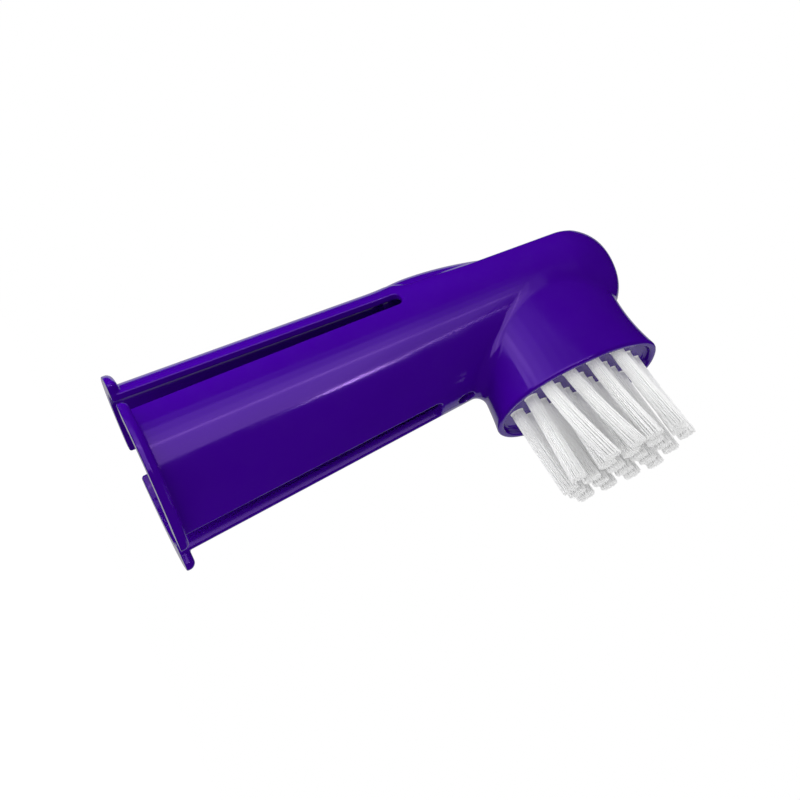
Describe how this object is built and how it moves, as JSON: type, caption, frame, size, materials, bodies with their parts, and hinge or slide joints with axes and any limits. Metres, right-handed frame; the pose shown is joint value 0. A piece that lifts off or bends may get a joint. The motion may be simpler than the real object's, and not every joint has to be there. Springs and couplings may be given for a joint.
{
  "type": "finger toothbrush",
  "caption": "Tapered plastic finger sleeve with three sprung leaves and an oval bristle head near its closed tip, for brushing a pet's teeth.",
  "frame": {"origin": "centre of the open rim, in the plane of the rim's end face", "axes": "+Z along the finger towards the closed tip, +X the way the bristles point, +Y across the head"},
  "size_m": [0.0347, 0.024, 0.0592],
  "materials": {
    "purple_plastic": "glossy moulded polypropylene",
    "white_nylon": "nylon filament",
    "anchor_metal": "plain nickel silver strip"
  },
  "bodies": {
    "sleeve": {"finger_sleeve": "purple_plastic", "tuft_roots": "white_nylon", "tuft_anchors": "anchor_metal"},
    "leaf_near": {"near_leaf": "purple_plastic"},
    "leaf_far": {"far_leaf": "purple_plastic"},
    "leaf_back": {"back_leaf": "purple_plastic"},
    "bristles_row_1": {"bristle_tuft_r1_1": "white_nylon", "bristle_tuft_r1_2": "white_nylon", "bristle_tuft_r1_3": "white_nylon", "bristle_tuft_r1_4": "white_nylon"},
    "bristles_row_2": {"bristle_tuft_r2_1": "white_nylon", "bristle_tuft_r2_2": "white_nylon", "bristle_tuft_r2_3": "white_nylon", "bristle_tuft_r2_4": "white_nylon", "bristle_tuft_r2_5": "white_nylon"},
    "bristles_row_3": {"bristle_tuft_r3_1": "white_nylon", "bristle_tuft_r3_2": "white_nylon", "bristle_tuft_r3_3": "white_nylon", "bristle_tuft_r3_4": "white_nylon", "bristle_tuft_r3_5": "white_nylon", "bristle_tuft_r3_6": "white_nylon"},
    "bristles_row_4": {"bristle_tuft_r4_1": "white_nylon", "bristle_tuft_r4_2": "white_nylon", "bristle_tuft_r4_3": "white_nylon", "bristle_tuft_r4_4": "white_nylon", "bristle_tuft_r4_5": "white_nylon"},
    "bristles_row_5": {"bristle_tuft_r5_1": "white_nylon", "bristle_tuft_r5_2": "white_nylon", "bristle_tuft_r5_3": "white_nylon", "bristle_tuft_r5_4": "white_nylon"}
  },
  "joints": [
    {"name": "leaf_near_flex", "type": "hinge", "parent": "sleeve", "child": "leaf_near", "pos_m": [0.00347, -0.00659, 0.0326], "axis": [-0.885, -0.4656, 0], "range_deg": [0, 5], "stiffness_Nm_per_rad": 0.2},
    {"name": "leaf_far_flex", "type": "hinge", "parent": "sleeve", "child": "leaf_far", "pos_m": [0.00347, 0.00659, 0.0326], "axis": [0.885, -0.4656, 0], "range_deg": [0, 5], "stiffness_Nm_per_rad": 0.2},
    {"name": "leaf_back_flex", "type": "hinge", "parent": "sleeve", "child": "leaf_back", "pos_m": [-0.00745, 0, 0.0326], "axis": [0, 1, 0], "range_deg": [0, 5], "stiffness_Nm_per_rad": 0.2},
    {"name": "bristles_row_1_flex", "type": "hinge", "parent": "sleeve", "child": "bristles_row_1", "pos_m": [0.0119, -0.0054, 0.0482], "axis": [0, 0, 1], "range_deg": [-10, 10], "stiffness_Nm_per_rad": 0.0005},
    {"name": "bristles_row_2_flex", "type": "hinge", "parent": "sleeve", "child": "bristles_row_2", "pos_m": [0.0119, -0.0027, 0.0482], "axis": [0, 0, 1], "range_deg": [-10, 10], "stiffness_Nm_per_rad": 0.0005},
    {"name": "bristles_row_3_flex", "type": "hinge", "parent": "sleeve", "child": "bristles_row_3", "pos_m": [0.0119, 0, 0.0482], "axis": [0, 0, 1], "range_deg": [-10, 10], "stiffness_Nm_per_rad": 0.0005},
    {"name": "bristles_row_4_flex", "type": "hinge", "parent": "sleeve", "child": "bristles_row_4", "pos_m": [0.0119, 0.0027, 0.0482], "axis": [0, 0, 1], "range_deg": [-10, 10], "stiffness_Nm_per_rad": 0.0005},
    {"name": "bristles_row_5_flex", "type": "hinge", "parent": "sleeve", "child": "bristles_row_5", "pos_m": [0.0119, 0.0054, 0.0482], "axis": [0, 0, 1], "range_deg": [-10, 10], "stiffness_Nm_per_rad": 0.0005}
  ],
  "couplings": [
    {"joint": "bristles_row_1_flex", "follows": "bristles_row_3_flex", "ratio": 1},
    {"joint": "bristles_row_2_flex", "follows": "bristles_row_3_flex", "ratio": 1},
    {"joint": "bristles_row_4_flex", "follows": "bristles_row_3_flex", "ratio": 1},
    {"joint": "bristles_row_5_flex", "follows": "bristles_row_3_flex", "ratio": 1}
  ]
}
